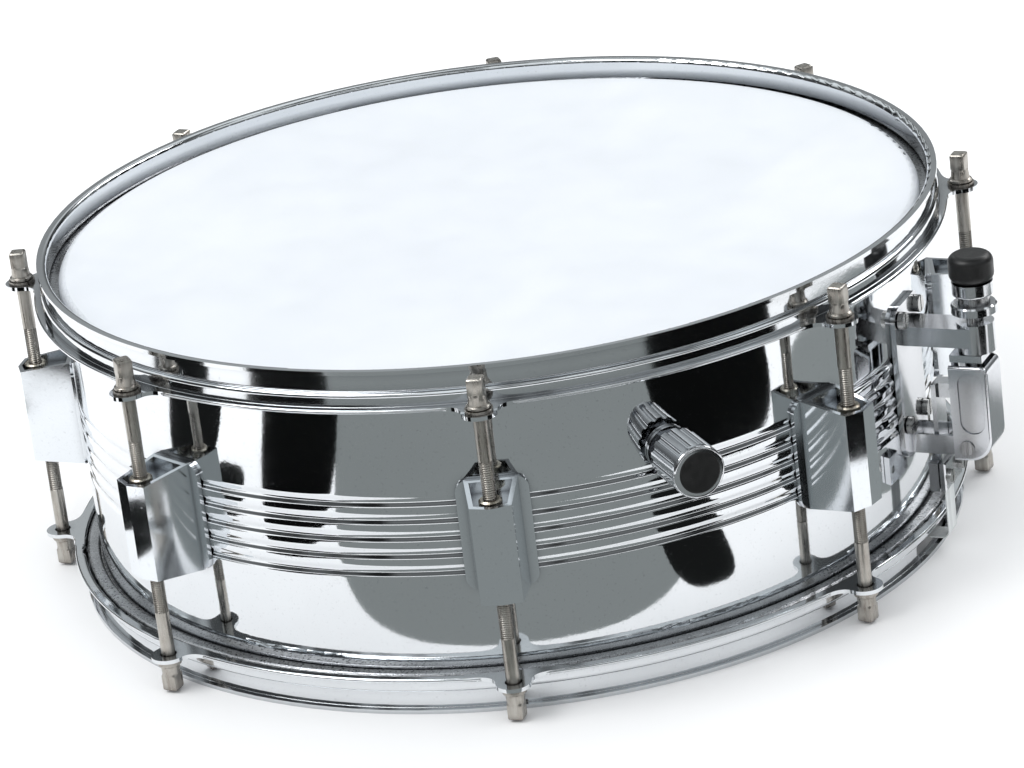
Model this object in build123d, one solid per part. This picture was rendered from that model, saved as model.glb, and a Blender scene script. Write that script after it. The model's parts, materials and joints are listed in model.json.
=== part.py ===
from build123d import *
import math
import os

# Snare drum, 14 by 5 inches, as an assembly of separate pieces. Millimetres, +Z up. The origin is on
# the drum's axis in the plane the bottom hoop's lip stands on. The snares run along X, with the
# strainer on +X and the butt plate on -X. Fittings are modelled on +X and then spun round the axis.

# ---- drum ----
shell_r = 176.0                 # outside of the steel shell
shell_height = 127.0            # 5 inches between the bearing edges
shell_t = 1.2
edge_bend = 2.4                 # bend radius of the bearing edge, at the middle of the sheet
edge_slope = 30.0               # how far the turned-in edge slopes down, degrees
edge_length = 9.0
bead_count = 5
bead_pitch = 7.2
bead_depth = 0.7
bead_half_top = 0.5             # half-width of a bead's floor
bead_half_base = 2.4            # half-width of a bead at the shell's surface
bead_bend = 1.4
film_t = 0.25                   # plastic head
film_wall_gap = 0.25            # between the shell and the film's turned-up wall
seat_gap = 0.05                 # film to bearing edge
lip_height = 7.0                # hoop lip above the playing surface
running_gap = 0.05              # clearance round anything that turns or slides
face_gap = 0.03                 # clearance between faces that only meet

head_z = lip_height             # the snare-side head's playing surface
edge_z = head_z + film_t + seat_gap
mid_z = edge_z + shell_height / 2
total_height = 2 * mid_z
shell_inner_r = shell_r - shell_t
bead_inner_r = shell_inner_r - bead_depth

# ---- hoops ----
hoop_t = 1.6
lip_r = 184.0
hoop_wall_r = 180.8             # middle of the upright wall
shelf_drop = 2.7                # from the playing surface to the middle of the shelf
skirt_r = 183.2
skirt_drop = 8.2
flange_r = 186.4
hoop_bend = 1.0
flesh_r = 182.0                 # outside of the head's own rim
flesh_inner_r = 176.45
flesh_top = 3.5                 # from the playing surface to the rim
flesh_drop = 8.6
flesh_corner = 1.2
gate_half_width = 20.0
gate_floor = 1.9
gate_roof = 8.0
gate_corner = 2.0
ear_overlap = 0.4               # how far an ear runs into the flange's edge
ear_hole_r = 3.35

# ---- lugs and tension rods ----
lug_count = 8
lug_azimuths = [360 / lug_count * (n + 0.5) for n in range(lug_count)]
rod_r = 193.2                   # tension rods' distance from the drum's axis
rod_shaft_r = 2.75
washer_r = 5.4
washer_t = 1.2
washer_hole_r = 3.05
rod_flange_r = 4.7
rod_flange_t = 1.6
rod_cone_r = (3.9, 3.4)         # at the flange and under the square
rod_cone_height = 4.2
rod_top_drop = 1.0              # key head below the hoop's lip
rod_chamfer = 0.8
rod_square = 6.35               # standard drum key
ear_tab_r = 6.9
ear_half_span = 6.0             # degrees each side of the rod
lug_plate = (28.0, 45.0, 5.0)   # width, height, corner radius
lug_plate_t = 1.8
lug_width = 16.0
lug_back_half = 10.5            # the box flares towards the shell
lug_recess_back = 3.4           # how close to the shell the end recesses reach
lug_wall = 1.6
lug_front_r = 200.6
lug_shoulder_r = 198.7
lug_half_back = 22.5
lug_half_front = 19.5
lug_end_wall = (15.5, 17.5)     # the wall each swivel nut pushes against, from mid height
lug_web = (184.8, 187.2)
lug_post_r = 3.4
lug_post_gap = 0.15             # between a post's foot and the shell
lug_post_lap = 0.5              # how far a post runs into the web
lug_hole_floor = 0.6            # left of the web beyond a tapped hole
lug_screw_offset = 1.5 * bead_pitch
nut_r = 4.5
nut_sleeve_r = 3.9
nut_flange_r = 5.0
nut_reach = 21.0
nut_tail = 8.0
nut_flange_t = 2.4
nut_chamfer = 0.6
spring_r = 4.4
spring_wire_r = 0.35
rod_tip_offset = 10.0

# ---- small fasteners ----
m4_r = 1.95
m4_hole_r = 2.2
m4_head = (3.5, 2.4)            # radius, height
m4_nut = (4.0, 3.0)
m4_washer = (5.0, 0.8)
bolt_reach = 5.0                # how far a mounting bolt passes the inside of the shell
lug_screw_tip = 1.2             # how far a lug screw's tip stops short of the web's front
lug_washer_x = math.sqrt(bead_inner_r ** 2 - m4_washer[0] ** 2) - face_gap
slot_width = 0.9
slot_depth = 1.0

# ---- strainer ----
base_plate = (28.0, 64.0, 6.0)
base_plate_t = 2.2
base_z = 74.0
base_bolt_y = 9.5
base_bolt_zs = (56.0, 100.5)
screw_x = 206.0                 # the tension screw stands this far from the drum's axis
upper_arm = (89.0, 97.0)
upper_arm_half = 7.5
boss_z = (86.1, 98.2)           # the guide boss at the end of the upper arm
lever_x = (196.0, 212.0)
lever_z = (41.3, 81.5)
lever_half = 8.8
lever_wall = 1.4
lever_foot_round = 10.0
lever_top_round = 3.0
lever_edge = 1.2
lever_throw = 75.0
foot_opening = 5.0              # the channel has no floor from its back to this far past the pivot
grip_pill = (10.4, 26.0)        # finger recess pressed into each cheek
grip_x = 204.6
grip_z = 66.0
grip_depth = 0.7
pivot_x = 201.5
pivot_z = 47.0
pivot_r = 3.0
fork_half = (5.8, 7.2)          # inner and outer half-width of the fork that holds the lever
fork_end_r = 4.2
fork_z = (43.2, 51.2)
cam_half = (3.9, 5.6)
cam_rise = 7.5                  # pivot to carriage foot with the snares on
cam_fall = 3.5                  # how far the carriage drops when the lever is thrown
cam_gap = 0.1
cam_hub = 0.8                   # wall of the cams' hubs round the pin
cam_overrun = 5.0               # degrees of cam beyond the throw
rail_x = (196.5, 199.0)
foot_x = 207.5
foot_t = 2.2
bar_z = (82.8, 85.8)
bar_x = (196.5, 209.8)
bar_half = 7.2
post_r = 1.75
post_y = 4.75
top_plate_z = (102.4, 106.0)
top_plate_r = 9.2
top_plate_chamfer = 0.6
pin_end = 0.6                   # how far a pin stands out of its holes
tension_r = 2.4
screw_fit = 0.1                 # clearance of the screw and cord in drilled plates
boss_fit = 0.4                  # clearance of the screw in the guide boss
bolt_head_clear = 0.5           # room round a bolt head where a casting passes it
tension_tip_z = 58.0
shoulder_r = 6.4
collar_r = 8.2
collar_z = (109.4, 115.0)
collar_round = 1.0
cap_r = 9.0
cap_z = (115.0, 126.5)
cap_round = 3.4
cap_bore_top = 121.0

# ---- cord clamp, straps and snares ----
block_x = (199.5, 209.6)
block_half = 3.5
block_z = (62.0, 72.0)
link_z = (66.0, 72.0)
hanger_x = (187.0, 188.95)
hanger_half = 5.4
jaw_half = 10.2
jaw_z = (28.0, 40.0)
strap_t = 0.5
strap_half = 5.0
strap_gap = 0.05
strap_top_z = 45.0
strap_bend = 3.0
jaw_plate_t = 2.4
jaw_screw_y = 7.2
jaw_screw_r = 1.6
jaw_screw_head = (2.8, 2.0)
jaw_chamfer = 0.6
wire_count = 20
wire_r = 0.95
wire_pitch = 2.1
wire_half_length = 145.0
plate_length = 20.0
plate_half = 23.0
plate_t = 0.6
plate_corner = 2.0
strap_lap = 3.0                 # from the wires' end to the strap's end, under the end plate
strap_x = hanger_x[1] + strap_gap
wire_z = head_z - seat_gap - wire_r
strap_z = wire_z - plate_t / 2 - strap_t

# ---- butt plate ----
butt_plate = (36.0, 34.0, 6.0)
butt_z = 40.0
butt_bolt_y = 12.0
butt_bolt_z = 47.0

# ---- muffler ----
muffler_azimuth = -45.0
muffler_z = 92.0
knob_x = (183.0, 205.0)
knob_r = 10.4
knob_flutes = 14
flute_r = 1.5
knob_face_r = 8.2
inlay_t = 1.2
inlay_round = 0.5
knob_face_depth = 1.0
knob_round = 1.2
flute_end = 2.4                 # the flutes stop this far behind the knob's face
flute_offset = 0.6              # a flute's centre line stands this far outside the knob
knob_socket = 5.0               # from the knob's face to the end of its shaft
shaft_r = 3.0
shaft_stop_r = 4.5
shaft_stop_x = (164.0, 166.5)
sleeve_r = 5.0
bushing_nut_r = 7.4
bushing_nut_t = 4.0
bushing_washer = (9.2, 1.6)     # radius, thickness
bushing_end_x = 167.0
cam_x = (138.0, 142.0)
muffler_cam_r = 5.0
muffler_cam_offset = 0.38
bracket_half = (10.0, 11.6)
bracket_x = (146.0, 171.6)
bracket_lap = 0.8               # how far the cheeks run into the plate
bracket_z = (84.0, 106.0)
arm_pivot_x = 150.0
arm_pivot_z = 100.0
arm_pin_r = 2.0
arm_t = 1.5
arm_half = 8.0
arm_ear_r = 4.0
table_inset = 3.0               # the pad overhangs its table by this much
arm_x = (125.0, 147.0)
arm_clear = 0.18
pad_table_z = 118.0
pad_x = (102.0, 132.0)
pad_half = 13.0
pad_top_z = 130.0
pad_corner = 5.0
pad_round = 2.0

# ---- vent ----
vent_azimuth = 90.0
vent_z = 108.0
vent_hole_r = 6.0
vent_rim_r = 10.0
vent_rim_t = 1.6
vent_wall = 1.2
vent_roll = (2.4, 0.4)          # the rolled-over inner end, measured in from the shell's inside
vent_roll_r = 7.6


# ---- shared shapes ----

def block(x, y, z):
    """Box between pairs of limits."""
    size = Box(x[1] - x[0], y[1] - y[0], z[1] - z[0], align=(Align.MIN, Align.MIN, Align.MIN))
    return Pos(x[0], y[0], z[0]) * size


def bar_x_axis(radius, x, y=0.0, z=0.0):
    """Round bar along X between two limits."""
    bar = Cylinder(radius, x[1] - x[0], align=(Align.CENTER, Align.CENTER, Align.MIN))
    return Pos(x[0], y, z) * Rot(0, 90, 0) * bar


def bar_y_axis(radius, y, x, z):
    """Round bar along Y between two limits."""
    bar = Cylinder(radius, y[1] - y[0], align=(Align.CENTER, Align.CENTER, Align.MIN))
    return Pos(x, y[0], z) * Rot(-90, 0, 0) * bar


def bar_z_axis(radius, z, x=0.0, y=0.0):
    """Round bar along Z between two limits."""
    bar = Cylinder(radius, z[1] - z[0], align=(Align.CENTER, Align.CENTER, Align.MIN))
    return Pos(x, y, z[0]) * bar


def ring(inner, outer, z):
    """Flat-ended ring on the drum's axis."""
    return bar_z_axis(outer, z) - bar_z_axis(inner, z)


def spin(shape, azimuth):
    """Turn a shape modelled on +X round the drum's axis."""
    return Rot(0, 0, azimuth) * shape


def flip(shape):
    """Mirror a shape in the drum's mid-height plane."""
    return Pos(0, 0, total_height) * mirror(shape, Plane.XY)


def bent_sheet(corners, bend, thickness):
    """Sheet bent round corners given as radius and height, then revolved about the drum's axis."""
    line = FilletPolyline(*corners, radius=bend)
    outline = make_face(offset(line, amount=thickness / 2, side=Side.BOTH).edges())
    half_plane = Pos(lip_r, 0) * Rectangle(2 * lip_r, 4 * total_height)
    return revolve(Plane.XZ * (outline & half_plane), Axis.Z)


def curved_plate(width, height, corner, thickness, z):
    """Plate with rounded corners that lies against the outside of the shell."""
    slab = Pos(0, 0, z) * extrude(Plane.YZ * RectangleRounded(width, height, corner), amount=lip_r)
    return slab & ring(shell_r + face_gap, shell_r + thickness, (z - height, z + height))


def sheet_profile(points, half_width):
    """Straight-sided profile in X and Z, extruded both ways along Y."""
    face = make_face(Plane.XZ * Polyline(*points, close=True))
    return extrude(face, amount=half_width, both=True)


def both_sides(half, x, z):
    """A pair of upright plates, one each side of the XZ plane."""
    near = block(x, (half[0], half[1]), z)
    far = block(x, (-half[1], -half[0]), z)
    return near + far


def screw_along_x(head, shank_r, head_x, tip_x, y, z):
    """Slotted screw whose head starts at head_x and whose shank points to tip_x."""
    way = 1 if tip_x > head_x else -1
    under = head_x + way * head[1]
    body = bar_x_axis(head[0], sorted((head_x, under)), y, z)
    body += bar_x_axis(shank_r, sorted((head_x, tip_x)), y, z)
    slot_x = sorted((head_x - way * slot_depth, head_x + way * slot_depth))
    slot = block(slot_x, (y - slot_width / 2, y + slot_width / 2), (z - 2 * head[0], z + 2 * head[0]))
    return body - slot


def save(node, shapes):
    """Write every solid of a node to one file."""
    solids = [solid for shape in shapes for solid in shape.solids()]
    export_step(Compound(solids), f"parts/{node}.step")


# ---- shell and heads ----

def shell_line():
    """Corners of the shell's sheet from the bottom edge to the top edge."""
    slope = math.radians(edge_slope)
    wall_r = shell_r - shell_t / 2
    corner = shell_t / 2 + edge_bend - edge_bend * (1 + math.sin(slope)) / math.cos(slope)
    bottom = edge_z + corner
    tip_r = wall_r - edge_length * math.cos(slope)
    tip_rise = edge_length * math.sin(slope)
    points = [(tip_r, bottom + tip_rise), (wall_r, bottom)]
    for n in range(bead_count):
        z = mid_z + (n - (bead_count - 1) / 2) * bead_pitch
        points.append((wall_r, z - bead_half_base))
        points.append((wall_r - bead_depth, z - bead_half_top))
        points.append((wall_r - bead_depth, z + bead_half_top))
        points.append((wall_r, z + bead_half_base))
    points.append((wall_r, total_height - bottom))
    points.append((tip_r, total_height - bottom - tip_rise))
    return points


def shell_sheet():
    """The shell's section: straight bends at the edges and soft beads round the middle."""
    points = shell_line()
    wall = FilletPolyline(*points[2:-2], radius=bead_bend)
    foot = FilletPolyline(points[0], points[1], points[2], radius=edge_bend)
    crown = FilletPolyline(points[-3], points[-2], points[-1], radius=edge_bend)
    return foot.edges() + wall.edges() + crown.edges()


def make_shell():
    line = Wire(shell_sheet())
    outline = offset(line, amount=shell_t / 2, side=Side.BOTH)
    shell = revolve(Plane.XZ * make_face(outline.edges()), Axis.Z)
    wall = (bead_inner_r - 5, shell_r + 5)
    for azimuth in lug_azimuths:
        for offset_z in (-lug_screw_offset, lug_screw_offset):
            shell -= spin(bar_x_axis(m4_hole_r, wall, 0, mid_z + offset_z), azimuth)
    for z in base_bolt_zs:
        for y in (-base_bolt_y, base_bolt_y):
            shell -= bar_x_axis(m4_hole_r, wall, y, z)
    for y in (-butt_bolt_y, butt_bolt_y):
        shell -= spin(bar_x_axis(m4_hole_r, wall, y, butt_bolt_z), 180)
    shell -= spin(bar_x_axis(sleeve_r + running_gap, wall, 0, muffler_z), muffler_azimuth)
    shell -= spin(bar_x_axis(vent_hole_r, wall, 0, vent_z), vent_azimuth)
    return shell


def make_film():
    """Snare-side head: a disc turned up over the bearing edge and into its rim."""
    collar_wall_r = shell_r + film_wall_gap
    bend = edge_bend + shell_t / 2 + seat_gap + film_t / 2
    middle = head_z + film_t / 2
    return bent_sheet([(-1, middle), (collar_wall_r, middle), (collar_wall_r, head_z + flesh_drop - 1)],
                      bend, film_t)


def make_flesh_hoop():
    """Rim that carries the film's edge: a square section with a rolled lower corner."""
    rim = ring(flesh_inner_r, flesh_r, (head_z + flesh_top + face_gap, head_z + flesh_drop))
    return fillet(rim.edges().filter_by(GeomType.CIRCLE).sort_by(Axis.Z)[-2:], flesh_corner)


def make_vent():
    """Eyelet pressed through the shell's air hole."""
    far = shell_inner_r - vent_roll[0]
    rim = bar_x_axis(vent_rim_r, (shell_r - vent_roll[1], shell_r + vent_rim_t), 0, vent_z)
    rim -= bar_z_axis(shell_r + face_gap, (vent_z - 2 * vent_rim_r, vent_z + 2 * vent_rim_r))
    eyelet = rim + bar_x_axis(vent_hole_r - face_gap, (far, shell_r + vent_rim_t / 2), 0, vent_z)
    eyelet += bar_x_axis(vent_roll_r, (far, shell_inner_r - vent_roll[1]), 0, vent_z)
    eyelet -= bar_x_axis(vent_hole_r - vent_wall, (far - 1, shell_r + 2 * vent_rim_t), 0, vent_z)
    return spin(eyelet, vent_azimuth)


# ---- hoops ----

def ear_outline():
    """Flat outline of one hoop ear on +X: a round tab with flared roots."""
    root_r = flange_r + hoop_t / 2 - ear_overlap
    inner = [(skirt_r * math.cos(math.radians(a)), skirt_r * math.sin(math.radians(a)))
             for a in (-ear_half_span, 0, ear_half_span)]
    low = (root_r * math.cos(math.radians(ear_half_span)), -root_r * math.sin(math.radians(ear_half_span)))
    high = (low[0], -low[1])
    along = (math.sin(math.radians(ear_half_span)), math.cos(math.radians(ear_half_span)))
    back = ThreePointArc(inner[2], inner[1], inner[0])
    side_low = Line(inner[0], low)
    flare_low = Spline(low, (rod_r, -ear_tab_r), tangents=[along, (1, 0)])
    tip = ThreePointArc((rod_r, -ear_tab_r), (rod_r + ear_tab_r, 0), (rod_r, ear_tab_r))
    flare_high = Spline((rod_r, ear_tab_r), high, tangents=[(-1, 0), (-along[0], along[1])])
    side_high = Line(high, inner[2])
    return make_face([back, side_low, flare_low, tip, flare_high, side_high])


def plain_hoop():
    """Bottom hoop without gates: lip, wall, shelf, skirt and flange in one bent strip, with ears."""
    corners = [
        (lip_r + 1, hoop_t / 2),
        (hoop_wall_r, hoop_t / 2),
        (hoop_wall_r, head_z + shelf_drop),
        (skirt_r, head_z + shelf_drop),
        (skirt_r, head_z + skirt_drop),
        (flange_r, head_z + skirt_drop),
    ]
    hoop = bent_sheet(corners, hoop_bend, hoop_t)
    hoop -= ring(lip_r, lip_r + 5, (-1, head_z))
    flange_z = head_z + skirt_drop - hoop_t / 2
    ear = Pos(0, 0, flange_z) * extrude(ear_outline(), amount=hoop_t)
    ear -= bar_z_axis(ear_hole_r, (flange_z - hoop_t, flange_z + 2 * hoop_t), rod_r)
    for azimuth in lug_azimuths:
        hoop += spin(ear, azimuth)
    return hoop


def make_gate():
    """Window through the bottom hoop's wall that a snare strap passes through."""
    height = gate_roof - gate_floor
    outline = RectangleRounded(2 * gate_half_width, height, gate_corner)
    start = hoop_wall_r - 1.25 * hoop_t
    window = extrude(Plane.YZ.offset(start) * outline, amount=hoop_wall_r + hoop_t / 2 - start)
    return Pos(0, 0, gate_floor + height / 2) * window


# ---- lugs ----

def prism_in_lug(inset, back, z):
    """The lug box's plan from radius back outwards, pulled in all round by inset, as a prism."""
    half = lug_width / 2 - inset
    flare = (lug_back_half - lug_width / 2) / (lug_shoulder_r - shell_r)
    back_half = half + flare * (lug_shoulder_r - inset - back)
    plan = [(back, -back_half), (lug_shoulder_r - inset, -half), (lug_front_r - inset, 0),
            (lug_shoulder_r - inset, half), (back, back_half)]
    face = make_face(Polyline(*plan, close=True))
    return Pos(0, 0, z[0]) * extrude(face, amount=z[1] - z[0])


def make_lug():
    back_r = shell_r + lug_plate_t / 2
    side = sheet_profile([(back_r, mid_z - lug_half_back), (lug_front_r + 1, mid_z - lug_half_front),
                          (lug_front_r + 1, mid_z + lug_half_front), (back_r, mid_z + lug_half_back)],
                         lug_width)
    full = (mid_z - lug_half_back - 1, mid_z + lug_half_back + 1)
    body = curved_plate(*lug_plate, lug_plate_t, mid_z) + (prism_in_lug(0, back_r, full) & side)
    body -= prism_in_lug(lug_wall, lug_web[1], full)
    pocket_half = lug_width / 2 - lug_wall
    body -= block((shell_r - 1, lug_web[0]), (-pocket_half, pocket_half),
                  (mid_z - lug_end_wall[0], mid_z + lug_end_wall[0]))
    for way in (-1, 1):
        wall_z = sorted((mid_z + way * lug_end_wall[0], mid_z + way * lug_end_wall[1]))
        end_z = sorted((mid_z + way * lug_end_wall[1], mid_z + way * (lug_half_back + 1)))
        body += prism_in_lug(lug_wall, lug_web[1], wall_z)
        body -= prism_in_lug(lug_wall, shell_r + lug_recess_back, end_z)
        body -= bar_z_axis(nut_r + running_gap, (wall_z[0] - 1, wall_z[1] + 1), rod_r)
        post_z = mid_z + way * lug_screw_offset
        body += bar_x_axis(lug_post_r, (shell_r + lug_post_gap, lug_web[0] + lug_post_lap), 0, post_z)
        body -= bar_x_axis(m4_r, (shell_r - 1, lug_web[1] - lug_hole_floor), 0, post_z)
    return body


def make_swivel_nut():
    """Upper nut of a lug: threaded sleeve with the flange that the spring pushes."""
    top = mid_z + nut_reach
    flange_top = mid_z + lug_end_wall[0] - face_gap
    nose = bar_z_axis(nut_r, (flange_top - nut_flange_t, top), rod_r)
    nose = chamfer(nose.edges().sort_by(Axis.Z)[-1], nut_chamfer)
    nut = nose + bar_z_axis(nut_sleeve_r, (mid_z + nut_tail, top - 1), rod_r)
    nut += bar_z_axis(nut_flange_r, (flange_top - nut_flange_t, flange_top), rod_r)
    return nut - bar_z_axis(rod_shaft_r + running_gap, (mid_z, top + 1), rod_r)


def make_lug_spring():
    """Coil that keeps the two swivel nuts apart, as a sleeve of the coil's inner and outer size."""
    reach = lug_end_wall[0] - nut_flange_t - 2 * face_gap
    z = (mid_z - reach, mid_z + reach)
    outer = bar_z_axis(spring_r + spring_wire_r, z, rod_r)
    return outer - bar_z_axis(spring_r - spring_wire_r, z, rod_r)


def make_lug_screw(way):
    head_x = lug_washer_x - m4_washer[1] - m4_head[1]
    return screw_along_x(m4_head, m4_r, head_x, lug_web[1] - lug_screw_tip, 0, mid_z + way * lug_screw_offset)


def make_lug_screw_washer(way):
    z = mid_z + way * lug_screw_offset
    x = (lug_washer_x - m4_washer[1], lug_washer_x)
    return bar_x_axis(m4_washer[0], x, 0, z) - bar_x_axis(m4_r, x, 0, z)


def make_rod():
    """Upper tension rod on +X: square key head, cone, flange and threaded shaft."""
    ear_z = total_height - head_z - skirt_drop + hoop_t / 2
    seat = ear_z + washer_t + 2 * face_gap
    flange_top = seat + rod_flange_t
    cone_top = flange_top + rod_cone_height
    top = total_height - rod_top_drop
    rod = bar_z_axis(rod_shaft_r, (mid_z + rod_tip_offset, flange_top), rod_r)
    rod = chamfer(rod.edges().sort_by(Axis.Z)[0], rod_chamfer)
    rod += bar_z_axis(rod_flange_r, (seat, flange_top), rod_r)
    cone = Cone(*rod_cone_r, rod_cone_height, align=(Align.CENTER, Align.CENTER, Align.MIN))
    rod += Pos(rod_r, 0, flange_top) * cone
    half = rod_square / 2
    head = block((rod_r - half, rod_r + half), (-half, half), (cone_top - 2, top))
    head = chamfer(head.faces().sort_by(Axis.Z)[-1].edges(), rod_chamfer)
    return rod + head


def make_rod_washer():
    ear_z = total_height - head_z - skirt_drop + hoop_t / 2
    z = (ear_z + face_gap, ear_z + face_gap + washer_t)
    return bar_z_axis(washer_r, z, rod_r) - bar_z_axis(washer_hole_r, z, rod_r)


# ---- strainer ----

def bolts_and_nuts(y, z, plate_t, azimuth):
    """One slotted bolt through a plate and the shell, with its hex nut inside."""
    head_x = shell_r + plate_t + m4_head[1] + face_gap
    bolt = screw_along_x(m4_head, m4_r, head_x, shell_inner_r - bolt_reach, y, z)
    beaded = abs(z - mid_z) < bead_count / 2 * bead_pitch + m4_nut[0]
    wall_r = bead_inner_r if beaded else shell_inner_r
    nut_x = math.sqrt(wall_r ** 2 - (abs(y) + m4_nut[0]) ** 2) - face_gap
    hexagon = Plane.YZ.offset(nut_x - m4_nut[1]) * RegularPolygon(m4_nut[0], 6)
    nut = Pos(0, y, z) * extrude(hexagon, amount=m4_nut[1])
    nut -= bar_x_axis(m4_r, (nut_x - 5, nut_x + 1), y, z)
    return spin(bolt, azimuth), spin(nut, azimuth)


def make_strainer_base():
    """Curved back plate with the guide arm above and the fork for the lever below."""
    base = curved_plate(*base_plate, base_plate_t, base_z)
    root = shell_r + 0.5
    arm = block((root, screw_x), (-upper_arm_half, upper_arm_half), upper_arm)
    arm += bar_z_axis(upper_arm_half, boss_z, screw_x)
    fork = both_sides(fork_half, (root, pivot_x), fork_z)
    knuckle = bar_y_axis(fork_end_r, (-fork_half[1], fork_half[1]), pivot_x, pivot_z)
    knuckle -= block((pivot_x - 9, pivot_x + 9), (-fork_half[0], fork_half[0]), (30, 60))
    base += arm + fork + knuckle
    base -= bar_z_axis(shell_r + face_gap, (0, total_height))
    base -= bar_z_axis(tension_r + boss_fit, boss_z, screw_x)
    for y in (-post_y, post_y):
        base -= bar_z_axis(post_r + running_gap, boss_z, screw_x, y)
    base -= bar_y_axis(pivot_r + running_gap, (-20, 20), pivot_x, pivot_z)
    for z in base_bolt_zs:
        for y in (-base_bolt_y, base_bolt_y):
            base -= bar_x_axis(m4_hole_r, (shell_r - 5, shell_r + 12), y, z)
            base -= bar_x_axis(m4_head[0] + bolt_head_clear, (shell_r + base_plate_t, shell_r + 12), y, z)
    return base


def lever_profile(inset, half_width):
    """Side view of the lever with a large round at its outer foot and a small one at its head."""
    x = (lever_x[0], lever_x[1] - inset)
    z = (lever_z[0] + inset, lever_z[1])
    foot = lever_foot_round - inset
    head = lever_top_round
    lines = [
        Line((x[0], z[0]), (x[1] - foot, z[0])),
        RadiusArc((x[1] - foot, z[0]), (x[1], z[0] + foot), -foot),
        Line((x[1], z[0] + foot), (x[1], z[1] - head)),
        RadiusArc((x[1], z[1] - head), (x[1] - head, z[1]), -head),
        Line((x[1] - head, z[1]), (x[0], z[1])),
        Line((x[0], z[1]), (x[0], z[0])),
    ]
    return extrude(Plane.XZ * make_face(lines), amount=half_width, both=True)


def make_lever():
    """Channel-shaped throw lever, open at the back and top, with a finger recess in front."""
    inner_half = lever_half - lever_wall
    lever = lever_profile(0, lever_half)
    front = [edge for edge in lever.edges() if edge.center().X > lever_x[0] + 1]
    lever = fillet([edge for edge in front if abs(abs(edge.center().Y) - lever_half) < 0.01], lever_edge)
    lever -= lever_profile(lever_wall, inner_half)
    inside = (-inner_half, inner_half)
    lever -= block((lever_x[0] - 1, lever_x[1] - lever_wall), inside, (lever_z[1] - 10, lever_z[1] + 1))
    lever -= block((lever_x[0] - 1, pivot_x + foot_opening), inside, (lever_z[0] - 1, pivot_z))
    pill = Plane.XZ * Pos(grip_x, grip_z) * SlotOverall(grip_pill[1], grip_pill[0], rotation=90)
    for side in (-1, 1):
        floor = side * (lever_half - grip_depth)
        lever -= extrude(Pos(0, floor, 0) * pill, amount=-side * 5)
    lever -= bar_y_axis(pivot_r, (-lever_half - 1, lever_half + 1), pivot_x, pivot_z)
    return lever


def make_camshaft():
    """Lever pin with two cams whose flat-foot profile lowers the carriage evenly."""
    pin = bar_y_axis(pivot_r, (-lever_half - pin_end, lever_half + pin_end), pivot_x, pivot_z)
    fall_rate = cam_fall / math.radians(lever_throw)
    steps = 8
    points = []
    for n in range(steps + 1):
        turn = math.radians(lever_throw + cam_overrun) * n / steps
        lift = cam_rise - cam_gap - fall_rate * turn
        x = -lift * math.sin(turn) + fall_rate * math.cos(turn)
        z = lift * math.cos(turn) + fall_rate * math.sin(turn)
        points.append((pivot_x + x, pivot_z + z))
    centre = (pivot_x, pivot_z)
    lobe = make_face([Spline(*points), Line(points[-1], centre), Line(centre, points[0])])
    for half in (cam_half, (-cam_half[1], -cam_half[0])):
        cam = extrude(Plane.XZ.offset(-half[1]) * lobe, amount=half[1] - half[0])
        pin += cam + bar_y_axis(pivot_r + cam_hub, half, pivot_x, pivot_z)
    return pin


def make_carriage_frame():
    """Cross bar, two rails and the feet that stand on the cams."""
    foot_z = pivot_z + cam_rise
    frame = block(bar_x, (-bar_half, bar_half), bar_z)
    frame += both_sides(cam_half, rail_x, (foot_z, bar_z[0]))
    frame += both_sides(cam_half, (rail_x[0], foot_x), (foot_z, foot_z + foot_t))
    frame -= bar_z_axis(tension_r + screw_fit, bar_z, screw_x)
    for y in (-post_y, post_y):
        frame -= bar_z_axis(post_r, bar_z, screw_x, y)
    return frame


def make_carriage_top():
    """Plate above the guide arm that the tension screw's shoulder bears on."""
    plate = bar_z_axis(top_plate_r, top_plate_z, screw_x)
    plate = chamfer(plate.faces().sort_by(Axis.Z)[-1].edges(), top_plate_chamfer)
    plate -= bar_z_axis(tension_r + screw_fit, top_plate_z, screw_x)
    for y in (-post_y, post_y):
        plate -= bar_z_axis(post_r, top_plate_z, screw_x, y)
    return plate


def make_guide_posts():
    z = (bar_z[0], top_plate_z[1])
    return [bar_z_axis(post_r, z, screw_x, y) for y in (-post_y, post_y)]


def make_tension_screw():
    screw = bar_z_axis(tension_r, (tension_tip_z, cap_bore_top), screw_x)
    return screw + bar_z_axis(shoulder_r, (top_plate_z[1] + face_gap, collar_z[0]), screw_x)


def make_collar():
    collar = bar_z_axis(collar_r, collar_z, screw_x)
    collar = fillet(collar.edges().sort_by(Axis.Z)[0], collar_round)
    return collar - bar_z_axis(tension_r, collar_z, screw_x)


def make_cap():
    cap = bar_z_axis(cap_r, cap_z, screw_x)
    cap = fillet(cap.edges().filter_by(GeomType.CIRCLE), cap_round)
    return cap - bar_z_axis(tension_r, (cap_z[0] - 1, cap_bore_top), screw_x)


# ---- cord clamp ----

def jaw_plate():
    """Outer clamp plate with its two screw holes."""
    inner = strap_x + strap_t + strap_gap
    plate = block((inner, inner + jaw_plate_t), (-jaw_half, jaw_half), jaw_z)
    plate = chamfer(plate.faces().sort_by(Axis.X)[-1].edges(), jaw_chamfer)
    for y in (-jaw_screw_y, jaw_screw_y):
        plate -= bar_x_axis(jaw_screw_r + screw_fit, (inner - 1, inner + 5), y, sum(jaw_z) / 2)
    return plate


def jaw_screws(tip_x):
    outer = strap_x + strap_t + strap_gap + jaw_plate_t + face_gap
    head_x = outer + jaw_screw_head[1]
    return [screw_along_x(jaw_screw_head, jaw_screw_r, head_x, tip_x, y, sum(jaw_z) / 2)
            for y in (-jaw_screw_y, jaw_screw_y)]


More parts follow.
